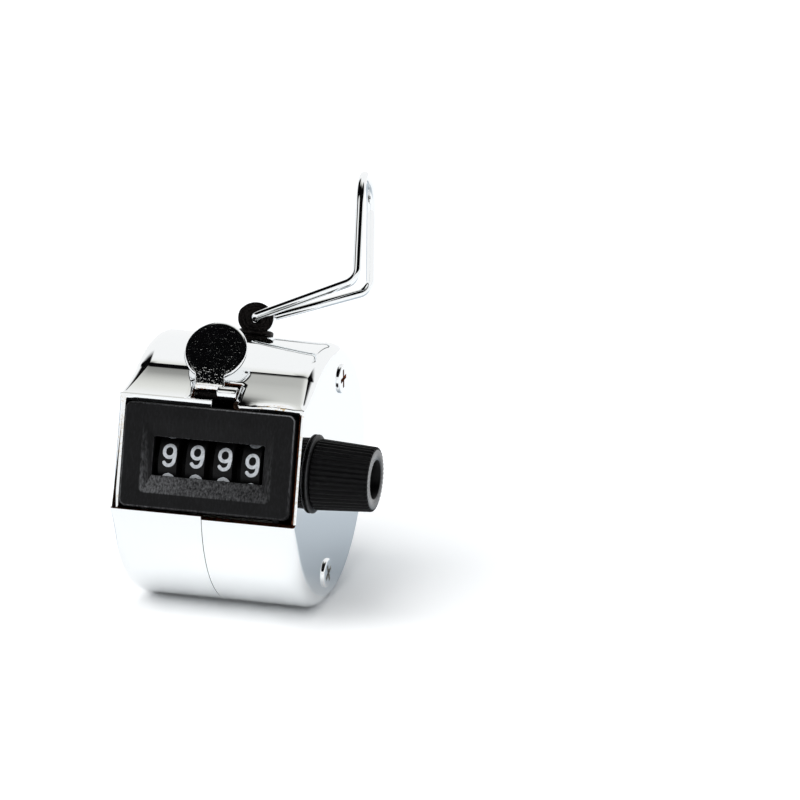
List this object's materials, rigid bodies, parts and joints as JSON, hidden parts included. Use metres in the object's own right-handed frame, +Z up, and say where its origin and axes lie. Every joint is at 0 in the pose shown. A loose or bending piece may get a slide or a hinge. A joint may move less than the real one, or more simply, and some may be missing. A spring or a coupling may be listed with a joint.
{
  "type": "hand tally counter",
  "caption": "Chromed drum-shaped hand tally counter with number wheels behind a bezel, a thumb lever that counts, a reset knob and a swivelling finger ring.",
  "frame": {"origin": "middle of the flat land under the drum that the counter stands on, in the plane of the seam", "axes": "+X along the drum's axis towards the reset knob, +Z up, the face with the number window towards -Y, leaning back"},
  "size_m": [0.0399, 0.0453, 0.0663],
  "materials": {
    "chromed_steel": "mirror",
    "steel": "satin",
    "dark_steel": "blackened",
    "brass": "satin",
    "wheel_plastic": "matte",
    "black_plastic": "fine moulded grain",
    "knob_plastic": "semi-matte"
  },
  "bodies": {
    "case": {"case_left": "chromed_steel", "case_right": "chromed_steel", "case_screws": "steel", "bezel": "black_plastic", "side_plate_left": "steel", "side_plate_right": "steel", "tie_rods": "steel", "detent_bar": "steel", "detent_comb": "brass", "detent_screws": "steel", "shaft_bushes": "brass", "lever_pin": "steel", "lever_spring": "steel", "knob_washer": "steel"},
    "lever": {"thumb_lever": "chromed_steel", "pawl_pin": "steel", "pawl_spring": "steel"},
    "pawl": {"drive_pawl": "steel"},
    "shaft": {"reset_shaft": "steel", "knob": "knob_plastic", "knob_screw": "dark_steel", "shaft_clip": "steel", "wheel_washers": "brass"},
    "thousands": {"thousands_wheel": "wheel_plastic", "thousands_click": "brass"},
    "hundreds": {"hundreds_wheel": "wheel_plastic", "hundreds_click": "brass"},
    "tens": {"tens_wheel": "wheel_plastic", "tens_click": "brass"},
    "units": {"units_wheel": "wheel_plastic", "units_click": "brass"},
    "post": {"swivel_post": "chromed_steel"},
    "ring": {"finger_ring": "chromed_steel"}
  },
  "joints": [
    {"name": "lever_press", "type": "hinge", "parent": "case", "child": "lever", "pos_m": [0, -0.01104, 0.03556], "axis": [-1, 0, 0], "range_deg": [0, 16], "stiffness_Nm_per_rad": 0.12, "springref_deg": -8.59, "deforming": ["lever_spring"]},
    {"name": "pawl_tilt", "type": "hinge", "parent": "lever", "child": "pawl", "pos_m": [0, -0.00054, 0.03222], "axis": [-1, 0, 0], "range_deg": [-16, 0], "deforming": ["pawl_spring"]},
    {"name": "knob_turn", "type": "hinge", "parent": "case", "child": "shaft", "pos_m": [0, -0.00991, 0.02399], "axis": [1, 0, 0], "continuous": true},
    {"name": "units_spin", "type": "hinge", "parent": "case", "child": "units", "pos_m": [0, -0.00991, 0.02399], "axis": [-1, 0, 0], "continuous": true},
    {"name": "tens_spin", "type": "hinge", "parent": "case", "child": "tens", "pos_m": [0, -0.00991, 0.02399], "axis": [-1, 0, 0], "continuous": true},
    {"name": "hundreds_spin", "type": "hinge", "parent": "case", "child": "hundreds", "pos_m": [0, -0.00991, 0.02399], "axis": [-1, 0, 0], "continuous": true},
    {"name": "thousands_spin", "type": "hinge", "parent": "case", "child": "thousands", "pos_m": [0, -0.00991, 0.02399], "axis": [-1, 0, 0], "continuous": true},
    {"name": "ring_swivel", "type": "hinge", "parent": "case", "child": "post", "pos_m": [0, 0.00851, 0.04292], "axis": [0, 0.3584, 0.9336], "continuous": true},
    {"name": "ring_fold", "type": "hinge", "parent": "post", "child": "ring", "pos_m": [0, 0.00851, 0.04292], "axis": [0.1305, -0.9256, 0.3553], "range_deg": [-18, 152]}
  ],
  "couplings": [
    {"joint": "pawl_tilt", "follows": "lever_press", "ratio": -1},
    {"joint": "tens_spin", "follows": "units_spin", "ratio": 0.1},
    {"joint": "hundreds_spin", "follows": "units_spin", "ratio": 0.01},
    {"joint": "thousands_spin", "follows": "units_spin", "ratio": 0.001}
  ]
}
